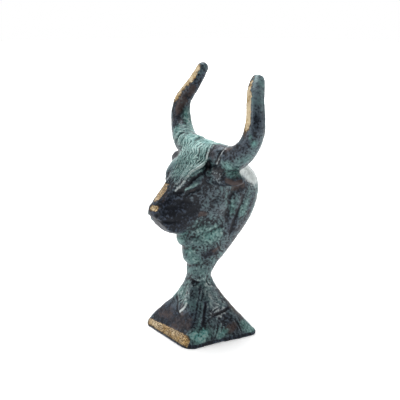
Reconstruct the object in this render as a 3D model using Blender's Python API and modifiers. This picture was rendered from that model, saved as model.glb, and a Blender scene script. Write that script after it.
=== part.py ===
"""Small cast bronze bust of a minotaur: a bull's head and neck on its own flared plinth, cast in one piece.

The bull looks along -Y, its left side is +X and +Z is up. The origin is at the middle of the plinth's underside.
"""

import bmesh
import bpy
import math
import numpy as np
from mathutils import Matrix, Vector
from mathutils.bvhtree import BVHTree
from mathutils.kdtree import KDTree

# Driving sizes, in metres
PLINTH_SIDE = 0.0348
PLINTH_RIM = 0.0014
WAIST_HEIGHT = 0.0245
WAIST_RADIUS = 0.0048
FIGURE_HEIGHT = 0.0848

# The figure above the waist is drawn in parts of its own height, each about a millimetre.
# Its heights are counted from the plinth's underside, where the waist lies at WAIST_AT.
PARTS_TALL = 84.8
WAIST_AT = 24.5
PART = FIGURE_HEIGHT / PARTS_TALL

WAIST = WAIST_RADIUS / PART

# Fineness of the modelling
RING_POINTS = 40
VOXEL = 0.0005
SOFT_ROUNDS = 8
TRIANGLES = 9600
SEAT_CUT = 0.003  # how far the plinth runs on below its seat before it is cut level

# Each section is its front point, its back point (both y, z in the middle plane), half its width and its
# squareness, where 2 is an ellipse.
NECK = [
    ((-WAIST - 0.8, 20.0), (WAIST - 1.8, 20.0), WAIST + 0.1, 2.2),
    ((-WAIST - 0.9, 25.0), (WAIST - 1.2, 25.0), WAIST + 0.2, 2.2),
    ((-6.5, 29.0), (6.6, 29.6), 5.7, 2.2),
    ((-8.0, 33.0), (11.7, 34.2), 6.6, 2.2),
    ((-9.0, 37.5), (16.8, 39.8), 7.6, 2.2),
    ((-10.4, 42.0), (22.2, 45.6), 8.4, 2.1),
    ((-10.0, 48.0), (25.8, 51.6), 8.7, 2.0),
    ((-8.0, 56.0), (27.2, 58.2), 8.3, 2.0),
    ((-5.0, 63.0), (26.0, 64.0), 7.6, 2.0),
    ((-1.0, 70.0), (20.6, 69.4), 6.6, 2.0),
    ((2.0, 75.0), (11.0, 73.4), 5.4, 2.0),
]
HEAD = [
    ((7.0, 79.4), (13.0, 71.0), 5.6, 2.2),
    ((2.0, 81.0), (13.0, 64.0), 9.0, 2.4),
    ((-4.0, 75.9), (11.0, 57.5), 10.2, 2.6),
    ((-9.0, 71.0), (7.0, 51.0), 9.7, 2.8),
    ((-13.5, 66.5), (1.5, 47.0), 8.2, 2.8),
    ((-17.8, 62.6), (-4.5, 44.8), 6.7, 2.7),
    ((-21.3, 59.2), (-9.0, 43.3), 6.2, 2.6),
    ((-23.7, 56.3), (-12.5, 44.0), 6.1, 2.3),
    ((-24.0, 54.0), (-17.4, 45.6), 5.4, 2.4),
]
# Each station of an ear is its centre on the left side, its half width and its half thickness.
EAR = [
    ((8.0, -0.7, 70.0), 4.4, 2.8),
    ((12.5, -0.2, 69.7), 5.0, 3.1),
    ((16.5, 0.5, 69.5), 4.9, 3.0),
    ((20.2, 1.3, 69.4), 4.0, 2.5),
    ((23.4, 2.0, 69.3), 2.7, 1.9),
    ((25.8, 2.5, 69.2), 1.3, 1.2),
]

EAR_TILT = 38  # degrees by which an ear's back leans from upright towards the sky

# Each horn is a row of x, y, z and radius, from root to tip. The two were modelled by hand and differ a little.
LEFT_HORN = [
    (5.0, 2.6, 76.0, 5.0),
    (12.6, 2.6, 75.9, 5.1),
    (19.2, 4.0, 77.1, 4.9),
    (24.8, 5.8, 82.5, 4.2),
    (27.1, 7.0, 89.4, 4.0),
    (26.3, 7.8, 95.6, 3.65),
    (24.0, 9.2, 100.2, 3.55),
    (21.7, 11.1, 103.8, 3.5),
    (20.0, 12.9, 106.6, 3.0),
]
RIGHT_HORN = [
    (-5.0, 2.2, 76.8, 4.8),
    (-12.6, 2.2, 76.4, 5.0),
    (-19.3, 3.9, 78.0, 4.8),
    (-24.8, 5.8, 82.0, 4.4),
    (-27.4, 6.9, 87.4, 4.0),
    (-26.7, 7.6, 92.4, 3.5),
    (-24.1, 9.2, 96.8, 3.1),
    (-21.6, 11.4, 102.0, 2.8),
    (-20.0, 13.3, 106.6, 2.5),
]
HORN_SQUARENESS = 2.2
HORN_FLAT = 0.84  # how far out the filed front face of a horn lies, as a share of its radius
FLAT_STARTS, FLAT_FULL = 0.40, 0.54  # shares of a horn's length between which the flat runs out
TIP_RINGS = [(0.45, 0.86), (0.75, 0.6), (0.92, 0.3)]  # how far beyond the last row, and how wide, in tip radii

# Rounded masses fused onto the lofts: centre, half sizes and how far they lean nose down. Those off the middle
# are made on both sides.
MASSES = [
    ((6.5, -7.2, 68.8), (4.2, 7.4, 3.8), 45),  # brow
    ((3.4, 2.6, 56.6), (6.7, 9.2, 9.6), 0),  # cheek
    ((0, -3.6, 74.2), (8.6, 8.4, 3.2), 45),  # cushion under the forelock
    ((0, -8.6, 41.6), (3.6, 2.9, 3.4), 0),  # folds of the dewlap
    ((0, -5.8, 33.4), (3.8, 2.6, 3.3), 0),
    ((0, -3.6, 26.4), (3.8, 2.4, 2.2), 0),
]

# The plinth narrows from its square foot to the waist. Its edges are sharp below and round off towards the top.
PLINTH_LEVELS = 9
FLARE = 1.32
FOOT_SQUARENESS, WAIST_SQUARENESS = 11.3, 2.3
WAIST_FORWARD = 1.4

# Strokes that are pushed out of the form, or pressed into it where the height is negative: width, height and
# the points they run through. The mirrored ones are given for the left side.
MIRRORED_STROKES = [
    # shallow masses: jowl, hollow before the eye, wing of the nose
    (4.2, 0.5, [(9.0, 2.0, 56.0), (8.6, -1.5, 53.0)]),
    (2.6, -0.7, [(7.0, -13.0, 58.6), (6.4, -17.5, 56.4)]),
    (1.8, 0.3, [(5.8, -21.4, 53.8)]),
    # groove below the brow, eyelids, eye and the ring around it
    (1.0, -0.7, [(9.8, -2.4, 72.6), (10.2, -6.4, 70.8), (9.8, -9.8, 68.4), (8.8, -12.2, 65.8), (6.6, -14.4, 63.0)]),
    (0.8, 0.45, [(10.4, -5.6, 66.6), (10.4, -8.3, 66.2), (9.8, -10.6, 65.4), (8.2, -12.6, 63.6)]),
    (1.0, -0.5, [(9.4, -6.2, 63.8), (9.0, -8.6, 63.6), (8.2, -11.0, 62.4), (7.6, -12.4, 60.8)]),
    (0.7, 0.4, [(8.8, -6.6, 61.0), (8.4, -8.0, 62.4), (8.0, -10.0, 62.6), (7.6, -11.6, 61.2)]),
    (1.3, 0.6, [(7.9, -9.3, 60.5)]),
    (0.7, -0.4, [(8.6, -7.0, 60.2), (8.2, -8.2, 58.7), (7.8, -10.0, 58.4), (7.6, -11.4, 59.4)]),
    # back of the jaw, its lower edge and the mouth
    (1.2, -0.6, [(9.4, 6.6, 65.0), (8.8, 7.4, 60.4), (9.0, 7.4, 55.8), (8.6, 6.6, 51.3), (8.5, 7.4, 47.8)]),
    (1.3, -0.45, [(8.0, 4.0, 46.6), (7.4, 0.0, 45.0), (6.4, -5.0, 43.4), (4.0, -9.0, 42.8)]),
    (0.7, -0.5, [(6.8, -16.2, 51.0), (6.4, -18.2, 51.5), (6.0, -20.7, 51.7), (4.0, -22.0, 51.4), (0, -22.9, 50.9)]),
    (0.9, -0.9, [(4.6, -23.4, 54.8), (3.8, -24.0, 53.8), (2.8, -24.0, 53.2)]),
    (0.6, -0.5, [(0, -23.2, 57.7), (2.5, -22.2, 57.8), (4.6, -21.0, 57.6)]),
    # folds of the dewlap and the neck
    (0.9, -0.6, [(5.6, -4.6, 39.0), (3.6, -7.4, 37.6), (0, -9.0, 37.0)]),
    (0.9, -0.6, [(5.2, -3.4, 31.0), (3.4, -5.6, 29.8), (0, -7.0, 29.2)]),
    (1.2, -0.4, [(7.4, 8.7, 39.6), (8.4, 9.9, 46.1), (8.4, 12.3, 51.2), (7.8, 15.6, 57.3)]),
    # swelling around the root of a horn, and the crease and lip where the horn leaves it
    (2.0, 0.4, [(12.2, 4.2, 81.6), (12.6, -0.4, 80.2), (13.2, -2.4, 77.4), (12.8, -2.6, 74.6)]),
    (0.7, -0.5, [(15.2, 4.4, 82.4), (15.4, -0.2, 80.8), (16.0, -1.9, 77.8), (15.6, -2.0, 74.8)]),
    (0.6, 0.4, [(16.6, 4.4, 83.0), (16.7, -0.2, 81.2), (17.4, -1.9, 77.6), (16.8, -2.0, 75.0)]),
    # hollow in the lower side of the ear
    (1.6, -0.7, [(13.5, -2.6, 66.6), (18.0, -1.4, 66.6), (22.0, 0.4, 67.0)]),
]
# The plinth keeps the modeller's tool marks: a tongue that runs down from the chest, and cracks on the left face.
PLINTH_STROKES = [
    (2.4, 0.6, [(3.4, -6.6, 22.0), (4.4, -8.0, 18.0), (4.8, -9.9, 14.2), (4.2, -11.2, 11.8)]),
    (0.6, -0.4, [(-0.2, -7.0, 21.7), (-0.6, -8.2, 18.3), (-0.8, -10.0, 14.2)]),
    (0.9, -0.4, [(1.4, -12.0, 10.6), (3.4, -12.6, 9.8), (5.6, -12.4, 10.0)]),
    (0.7, -0.4, [(0.2, -6.6, 24.0), (3.2, -5.9, 23.0), (4.9, -4.4, 22.6), (5.5, -2.5, 22.7), (5.3, -0.5, 23.4)]),
    (0.6, -0.5, [(5.2, -0.9, 26.2), (5.1, 1.4, 22.8), (5.6, 2.6, 21.0)]),
    (0.6, -0.4, [(6.0, -2.9, 20.4), (7.6, -4.6, 16.8), (9.8, -6.8, 12.8), (12.6, -10.4, 7.8)]),
    (0.6, -0.6, [(9.0, -3.8, 14.6), (11.1, -5.5, 11.0), (13.0, -7.2, 7.8)]),
    (1.0, 0.3, [(7.4, -0.7, 17.8), (10.0, -1.4, 12.8)]),
    (0.6, -0.5, [(11.8, -1.6, 9.8), (11.5, -0.7, 10.3), (11.1, 2.5, 10.9), (10.7, 6.5, 11.5)]),
    (0.6, -0.3, [(13.4, 2.6, 7.6), (15.0, 1.6, 4.8), (16.2, 1.4, 3.0)]),
    (0.6, -0.3, [(12.6, -4.4, 8.4), (14.2, -3.3, 6.0), (15.8, -2.2, 3.6)]),
    # the far front edge stands fuller, and the foot is worn at its near corner and along the left side
    (2.6, 1.1, [(-16.2, -16.2, 2.6), (-13.4, -13.4, 6.0), (-11.4, -11.6, 8.6), (-9.8, -10.4, 11.0)]),
    (2.6, -0.9, [(16.6, -16.6, 0.6)]),
    (2.0, -0.7, [(17.4, -12.0, 0.7), (17.4, -4.0, 0.7), (17.4, 4.0, 0.7)]),
    # plainer marks on the faces turned away
    (0.7, -0.4, [(-7.4, -3.0, 17.8), (-9.8, -4.2, 13.2), (-13.0, -6.4, 7.6)]),
    (0.6, -0.35, [(-9.0, 3.0, 14.4), (-12.6, 5.2, 8.6)]),
    (0.7, -0.4, [(2.0, 7.2, 17.6), (3.4, 10.6, 11.8), (4.0, 13.8, 6.6)]),
    (0.6, -0.35, [(-3.6, 9.0, 14.4), (-6.0, 12.8, 8.4)]),
]
# The locks of the forelock are combed a little to the left side, from the poll to the bridge of the nose. They
# lie side by side between these two lines.
FORELOCK_LEFT = [
    (6.5, 1.3, 80.9), (9.2, -2.6, 77.3), (9.2, -5.6, 73.4), (8.7, -8.5, 71.6), (7.4, -11.5, 69.0), (5.6, -13.4, 65.6),
    (4.4, -15.2, 63.6),
]
FORELOCK_RIGHT = [
    (-9.6, -0.6, 79.4), (-7.4, -4.6, 76.2), (-5.0, -7.6, 73.4), (-4.1, -9.8, 70.6), (-3.6, -12.0, 67.6),
    (-2.9, -13.8, 65.4), (-1.6, -16.0, 63.8),
]
LOCKS = 7
LOCK_WIDTH, LOCK_HEIGHT = 0.95, 0.8

# How a stroke is laid: the reach of its soft side, how strong its ends are and how soon it is at full strength.
STROKE_REACH = 2.2
END_STRENGTH, END_RISE = 0.35, 4.0
STROKE_STEPS = 16


def at(x, y, z):
    """A point of the figure, from parts to metres."""
    return Vector((x * PART, y * PART, WAIST_HEIGHT + (z - WAIST_AT) * PART))


def clear_scene():
    for obj in list(bpy.data.objects):
        bpy.data.objects.remove(obj)


def rounded(angle, squareness):
    """A point of the unit superellipse at this angle."""
    c, s = math.cos(angle), math.sin(angle)
    power = 2.0 / squareness
    return math.copysign(abs(c) ** power, c), math.copysign(abs(s) ** power, s)


def ring(bm, centre, across, along, squareness=2.0, clip=1.0):
    """A closed ring about centre. across and along are its half axes, and clip flattens its +along side."""
    made = bmesh.ops.create_circle(bm, segments=RING_POINTS, radius=1.0)["verts"]
    for index, vert in enumerate(made):
        u, v = rounded(2 * math.pi * index / RING_POINTS, squareness)
        vert.co = centre + across * u + along * min(v, clip)
    return made


def loft(bm, rings):
    """Bridges neighbouring rings and closes the two ends."""
    edges = [
        [edge for edge in {e for v in verts for e in v.link_edges} if all(v in verts for v in edge.verts)]
        for verts in rings
    ]
    for lower, upper in zip(edges, edges[1:]):
        bmesh.ops.bridge_loops(bm, edges=lower + upper)
    bmesh.ops.holes_fill(bm, edges=edges[0] + edges[-1], sides=0)


def smooth_path(points, per_span=4):
    """Points along the Catmull-Rom curve through rows of numbers."""
    rows = [Vector(p) for p in points]
    rows = [rows[0] * 2 - rows[1], *rows, rows[-1] * 2 - rows[-2]]
    path = []
    for a, b, c, d in zip(rows, rows[1:], rows[2:], rows[3:]):
        for step in range(per_span):
            t = step / per_span
            path.append(
                (b * 2 + (c - a) * t + (a * 2 - b * 5 + c * 4 - d) * t**2 + (b * 3 - a - c * 3 + d) * t**3) / 2
            )
    return [*path, rows[-2]]


def profile_loft(bm, sections):
    """A form that is symmetric about the middle plane, from its sections in that plane."""
    rings = []
    for front_y, front_z, back_y, back_z, half_width, squareness in smooth_path(
        [(*front, *back, half_width, squareness) for front, back, half_width, squareness in sections]
    ):
        near, far = at(0, front_y, front_z), at(0, back_y, back_z)
        rings.append(ring(bm, (near + far) / 2, Vector((half_width * PART, 0, 0)), (near - far) / 2, squareness))
    loft(bm, rings)


def horn(bm, rows):
    """A tapered horn with a blunt tip and a flat filed along its front."""
    path = smooth_path([(*at(x, y, z), radius * PART) for x, y, z, radius in rows])
    rings = []
    for index, row in enumerate(path):
        ahead = path[min(index + 1, len(path) - 1)].xyz - path[max(index - 1, 0)].xyz
        front = Vector((0, -1, 0))
        front = (front - ahead * front.dot(ahead) / ahead.length_squared).normalized()
        side = ahead.normalized().cross(front)
        share = index / (len(path) - 1)
        filed = min(1, max(0, (share - FLAT_STARTS) / (FLAT_FULL - FLAT_STARTS)))
        rings.append(ring(bm, row.xyz, side * row.w, front * row.w, HORN_SQUARENESS, 1 - (1 - HORN_FLAT) * filed))
    tip, radius = path[-1].xyz, path[-1].w
    onward = (tip - path[-2].xyz).normalized()
    for out, share in TIP_RINGS:
        rings.append(ring(bm, tip + onward * radius * out, side * radius * share, front * radius * share))
    loft(bm, rings)


def ear(bm, side):
    """A leaf-shaped ear that stands out sideways, its broad back turned up and forward."""
    rings = []
    tilt = math.radians(EAR_TILT)
    for (x, y, z), width, thickness in EAR:
        broad = Vector((0, math.sin(tilt), math.cos(tilt))) * width * PART
        thin = Vector((0, -math.cos(tilt), math.sin(tilt))) * thickness * PART
        rings.append(ring(bm, at(side * x, y, z), broad, thin))
    loft(bm, rings)


def ball(bm, centre, radii, lean):
    """An ellipsoid, tipped nose down by lean degrees."""
    matrix = (
        Matrix.Translation(at(*centre))
        @ Matrix.Rotation(math.radians(lean), 4, "X")
        @ Matrix.Diagonal((*(r * PART for r in radii), 1.0))
    )
    bmesh.ops.create_uvsphere(bm, u_segments=24, v_segments=16, radius=1.0, matrix=matrix)


def plinth(bm):
    """The flared foot: a square with rounded corners that sweeps up to the round waist."""
    rings = []
    for level in range(-1, PLINTH_LEVELS + 1):
        t = max(level, 0) / PLINTH_LEVELS
        height = -SEAT_CUT if level < 0 else PLINTH_RIM + (WAIST_HEIGHT - PLINTH_RIM) * t
        reach = WAIST_RADIUS + (PLINTH_SIDE / 2 - WAIST_RADIUS) * (1 - t) ** FLARE
        squareness = WAIST_SQUARENESS + (FOOT_SQUARENESS - WAIST_SQUARENESS) * (1 - t) ** 1.5
        centre = Vector((0, -WAIST_FORWARD * PART * t, height))
        rings.append(ring(bm, centre, Vector((reach, 0, 0)), Vector((0, reach, 0)), squareness))
    # the waist runs on a little way up into the neck
    top = Vector((0, -WAIST_FORWARD * PART, WAIST_HEIGHT + WAIST_RADIUS / 2))
    rings.append(ring(bm, top, Vector((WAIST_RADIUS, 0, 0)), Vector((0, WAIST_RADIUS, 0)), WAIST_SQUARENESS))
    loft(bm, rings)


def bronze():
    material = bpy.data.materials.new("Patinated bronze")
    material.use_nodes = True
    shader = material.node_tree.nodes["Principled BSDF"]
    shader.inputs["Base Color"].default_value = (0.055, 0.085, 0.085, 1)
    shader.inputs["Metallic"].default_value = 0.6
    shader.inputs["Roughness"].default_value = 0.5
    material.diffuse_color = (0.12, 0.17, 0.17, 1)
    return material


def cut_seat(mesh):
    """Cuts the form off level at the underside of the plinth."""
    bm = bmesh.new()
    bm.from_mesh(mesh)
    cut = bmesh.ops.bisect_plane(
        bm, geom=bm.verts[:] + bm.edges[:] + bm.faces[:], plane_co=(0, 0, 0), plane_no=(0, 0, 1), clear_inner=True
    )["geom_cut"]
    bmesh.ops.holes_fill(bm, edges=[e for e in cut if isinstance(e, bmesh.types.BMEdge)], sides=0)
    bmesh.ops.triangulate(bm, faces=bm.faces[:])
    bmesh.ops.recalc_face_normals(bm, faces=bm.faces[:])
    bm.to_mesh(mesh)
    bm.free()


def apply_modifiers(obj):
    """Replaces the object's mesh by what its modifiers make of it."""
    shaped = bpy.data.meshes.new_from_object(obj.evaluated_get(bpy.context.evaluated_depsgraph_get()))
    obj.modifiers.clear()
    obj.data = shaped


def press(mesh, strokes):
    """Moves the mesh along its normals under each stroke, fading over its width and towards its two ends."""
    surface = BVHTree.FromPolygons([v.co for v in mesh.vertices], [p.vertices for p in mesh.polygons])
    tree = KDTree(len(mesh.vertices))
    for vert in mesh.vertices:
        tree.insert(vert.co, vert.index)
    tree.balance()
    lift = np.zeros(len(mesh.vertices))
    for width, height, points in strokes:
        path = smooth_path([at(*p) for p in points], STROKE_STEPS) if len(points) > 1 else [at(*points[0])]
        weight = {}
        for place, point in enumerate(path):
            end = min(place, len(path) - 1 - place) / len(path) if len(path) > 1 else 1
            strength = min(1, END_STRENGTH + END_RISE * end)
            for _, index, distance in tree.find_range(surface.find_nearest(point)[0], STROKE_REACH * width * PART):
                share = strength * math.exp(-((distance / (width * PART)) ** 2))
                weight[index] = max(weight.get(index, 0.0), share)
        for index, share in weight.items():
            lift[index] += height * PART * share
    for vert, normal, rise in zip(mesh.vertices, [v.normal.copy() for v in mesh.vertices], lift):
        vert.co += normal * rise


def mirrored(strokes):
    return [(w, h, [(side * x, y, z) for x, y, z in points]) for w, h, points in strokes for side in (1, -1)]


def locks():
    """The strokes of the forelock, spread evenly between its two edges."""
    made = []
    for lock in range(LOCKS):
        share = lock / (LOCKS - 1)
        line = [Vector(a).lerp(Vector(b), share) for a, b in zip(FORELOCK_LEFT, FORELOCK_RIGHT)]
        made.append((LOCK_WIDTH, LOCK_HEIGHT, line))
    return made


def soften(obj, rounds):
    obj.modifiers.new("Soften", "SMOOTH").iterations = rounds


def main():
    clear_scene()
    bm = bmesh.new()
    plinth(bm)
    profile_loft(bm, NECK)
    profile_loft(bm, HEAD)
    for rows in (LEFT_HORN, RIGHT_HORN):
        horn(bm, rows)
    for side in (1, -1):
        ear(bm, side)
    for (x, y, z), radii, lean in MASSES:
        for across in {x, -x}:
            ball(bm, (across, y, z), radii, lean)
    mesh = bpy.data.meshes.new("minotaur_bust")
    bm.to_mesh(mesh)
    bm.free()
    bust = bpy.data.objects.new("minotaur_bust", mesh)
    collection = bpy.data.collections.new("Minotaur bust")
    bpy.context.scene.collection.children.link(collection)
    collection.objects.link(bust)
    fuse = bust.modifiers.new("Fuse", "REMESH")
    fuse.mode = "VOXEL"
    fuse.voxel_size = VOXEL
    soften(bust, SOFT_ROUNDS)
    apply_modifiers(bust)
    press(bust.data, mirrored(MIRRORED_STROKES))
    press(bust.data, locks() + PLINTH_STROKES)
    soften(bust, 1)
    thin = bust.modifiers.new("Thin", "DECIMATE")
    thin.ratio = TRIANGLES / (2 * len(bust.data.polygons))
    apply_modifiers(bust)
    cut_seat(bust.data)
    bust.data.name = "minotaur_bust"
    bust.data.materials.append(bronze())


main()
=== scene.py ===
"""Looks of a small cast bronze minotaur bust: its modelled surface, its patina and its studio."""

import math

import bmesh
import bpy
import numpy as np
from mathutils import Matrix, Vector, noise
from mathutils.bvhtree import BVHTree


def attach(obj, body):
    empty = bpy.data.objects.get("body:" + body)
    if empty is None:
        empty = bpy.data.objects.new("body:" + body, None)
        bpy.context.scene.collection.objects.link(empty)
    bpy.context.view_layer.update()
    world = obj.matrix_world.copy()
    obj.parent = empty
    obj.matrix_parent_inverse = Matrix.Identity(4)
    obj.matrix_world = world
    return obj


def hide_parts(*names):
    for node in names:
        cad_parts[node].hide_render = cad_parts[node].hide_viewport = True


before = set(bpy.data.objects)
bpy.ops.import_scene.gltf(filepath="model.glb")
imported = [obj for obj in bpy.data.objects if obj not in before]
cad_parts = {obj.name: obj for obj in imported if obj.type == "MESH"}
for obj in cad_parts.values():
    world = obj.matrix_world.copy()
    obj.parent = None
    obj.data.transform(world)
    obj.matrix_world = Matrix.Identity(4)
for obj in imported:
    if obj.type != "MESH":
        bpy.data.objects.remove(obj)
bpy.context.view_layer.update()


# Camera. It stands off the bull's left front quarter, a little above it, at the working distance of a
# table-top shot. Its place follows from the four edges of the plinth and the tips of the horns.
MM = 0.001
PHOTO_PIXELS = 400
FOCAL_PIXELS = 1126.6
SENSOR_MM = 36.0
CAMERA_AZIMUTH = 57.81
CAMERA_REACH = 440 * MM
CAMERA_HEIGHT = 180.8 * MM
CAMERA_PITCH = 15.82
CAMERA_SWING = 0.076

camera = bpy.data.objects.new("camera", bpy.data.cameras.new("camera"))
bpy.context.scene.collection.objects.link(camera)
camera.data.sensor_width = SENSOR_MM
camera.data.lens = SENSOR_MM * FOCAL_PIXELS / PHOTO_PIXELS
camera.data.clip_start = 0.01
azimuth = math.radians(CAMERA_AZIMUTH)
camera.location = (math.sin(azimuth) * CAMERA_REACH, -math.cos(azimuth) * CAMERA_REACH, CAMERA_HEIGHT)
camera.rotation_euler = (math.radians(90 - CAMERA_PITCH), 0, math.radians(CAMERA_AZIMUTH + CAMERA_SWING))
bpy.context.scene.camera = camera


# The raw casting. The bust is one solid pour of tin bronze with its plinth, so it is one piece. Its form is
# the CAD solid, with the facets rounded off and the skin divided finely enough to carry the modeller's
# touch.
ROUNDING = 2             # how many times the facets are halved and rounded
GRAIN = 0.41 * MM        # size of the small faces that the skin is divided into
SHARP_EDGE = 50          # degrees; the rim under the plinth stays crisp
SOFTENING = 5            # rounds of smoothing, which take the steps of the division off
MERGE_REACH = 0.005 * MM
FOOT_RIM = 0.1 * MM      # edges below this height are the rim under the plinth

raw = bmesh.new()
raw.from_mesh(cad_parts["minotaur_bust"].data)
bmesh.ops.remove_doubles(raw, verts=raw.verts[:], dist=MERGE_REACH)
crease = raw.edges.layers.float.new("crease_edge")
for edge in raw.edges:
    if len(edge.link_faces) == 2 and edge.calc_face_angle() > math.radians(SHARP_EDGE) and \
            max(vert.co.z for vert in edge.verts) < FOOT_RIM:
        edge[crease] = 1.0
raw_mesh = bpy.data.meshes.new("bust_casting")
raw.to_mesh(raw_mesh)
raw.free()
bust = bpy.data.objects.new("bust_casting", raw_mesh)
bpy.context.scene.collection.objects.link(bust)
rounding = bust.modifiers.new("Rounded facets", "SUBSURF")
rounding.levels = rounding.render_levels = ROUNDING
division = bust.modifiers.new("Fine skin", "REMESH")
division.mode = "VOXEL"
division.voxel_size = GRAIN
softening = bust.modifiers.new("Softening", "SMOOTH")
softening.iterations = SOFTENING
cast_mesh = bpy.data.meshes.new_from_object(bust.evaluated_get(bpy.context.evaluated_depsgraph_get()))
bust.modifiers.clear()
bust.data = cast_mesh
cast_mesh.name = "bust_casting"

count = len(cast_mesh.vertices)
skin = np.empty(count * 3)
cast_mesh.vertices.foreach_get("co", skin)
skin = skin.reshape(-1, 3)
edge_ends = np.empty(len(cast_mesh.edges) * 2, dtype=np.int32)
cast_mesh.edges.foreach_get("vertices", edge_ends)
edge_ends = edge_ends.reshape(-1, 2)
neighbours = np.bincount(edge_ends.ravel(), minlength=count)


def reshape_skin():
    """Puts the moved points back on the mesh and returns their new normals."""
    cast_mesh.vertices.foreach_set("co", skin.ravel())
    cast_mesh.update()
    fresh = np.empty(count * 3)
    cast_mesh.vertex_normals.foreach_get("vector", fresh)
    return fresh.reshape(-1, 3)


def averaged(values, rounds):
    """Values at the points of the skin, averaged with their neighbours a number of times."""
    for _ in range(rounds):
        total = np.zeros_like(values)
        np.add.at(total, edge_ends[:, 0], values[edge_ends[:, 1]])
        np.add.at(total, edge_ends[:, 1], values[edge_ends[:, 0]])
        values = (values + (total.T / neighbours).T) / 2
    return values


# Modelling in the wax. Every lock, lid, fold and tool mark was drawn with a wire tool before the cast, so
# each is a stroke: a line in millimetres, how wide it is, and how far it stands up, or sinks in where
# negative.
SPAN_STEPS = 12
STROKE_REACH = 2.4       # how many widths from its line a stroke is still felt
END_SHARE = 0.3          # what is left of a stroke at its two ends
HORN_RIM = [(14.6, 3.6, 81.0), (17.0, 0.3, 80.7), (16.8, -0.9, 79.6), (16.0, -1.3, 77.8), (15.0, -2.0, 74.8)]
normals = reshape_skin()


def smooth_line(points):
    """A Catmull-Rom curve through points given in millimetres, as an array in metres."""
    rows = np.array(points, dtype=float) * MM
    if len(rows) == 1:
        return rows
    rows = np.vstack([2 * rows[0] - rows[1], rows, 2 * rows[-1] - rows[-2]])
    t = np.arange(SPAN_STEPS)[:, None] / SPAN_STEPS
    spans = [
        (2 * b + (c - a) * t + (2 * a - 5 * b + 4 * c - d) * t**2 + (3 * b - a - 3 * c + d) * t**3) / 2
        for a, b, c, d in zip(rows, rows[1:], rows[2:], rows[3:])
    ]
    return np.vstack([*spans, rows[-2]])


def on_skin(line):
    """The line's points, brought to the nearest place on the skin."""
    return np.array([surface.find_nearest(point)[0] for point in line])


def share_of(line, width, run_out=0.25):
    """Which points lie under a stroke, and how much of it each gets: less at its sides and its two ends."""
    low, high = line.min(0) - STROKE_REACH * width, line.max(0) + STROKE_REACH * width
    near = np.flatnonzero(((skin > low) & (skin < high)).all(1))
    gaps = np.linalg.norm(skin[near, None] - line[None], axis=2)
    share = np.exp(-((gaps.min(1) / width) ** 2))
    if len(line) > 1 and run_out:
        step = gaps.argmin(1)
        from_end = np.minimum(step, len(line) - 1 - step) / len(line)
        share *= np.clip(END_SHARE + from_end / run_out, 0, 1)
    return near, share


def both_sides(strokes):
    """The strokes of the left side and the same ones on the right."""
    return [
        (*size, [(side * x, y, z) for x, y, z in points]) for *size, points in strokes for side in (1, -1)
    ]


def carve(strokes):
    """Works a set of strokes into the skin."""
    global skin, normals, surface
    surface = BVHTree.FromPolygons(skin.tolist(), [face.vertices for face in cast_mesh.polygons])
    lift = np.zeros(count)
    for width, height, points in strokes:
        near, share = share_of(on_skin(smooth_line(points)), width * MM)
        lift[near] += height * MM * share
    skin = skin + normals * lift[:, None]
    normals = reshape_skin()


# The modeller's thumb smoothed the roots of the ears into the temples, and the far edge of the plinth.
THUMBED = [((11.8, -2.8, 68.6), 3.4), ((-11.8, -2.8, 68.6), 3.4), ((-10.5, -11.5, 10.0), 4.0)]
THUMB_ROUNDS = 60
melted = averaged(skin, THUMB_ROUNDS)
for middle, reach in THUMBED:
    share = np.exp(-((np.linalg.norm(skin / MM - middle, axis=1) / reach) ** 4))
    skin = skin + (melted - skin) * share[:, None]
normals = reshape_skin()

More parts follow.
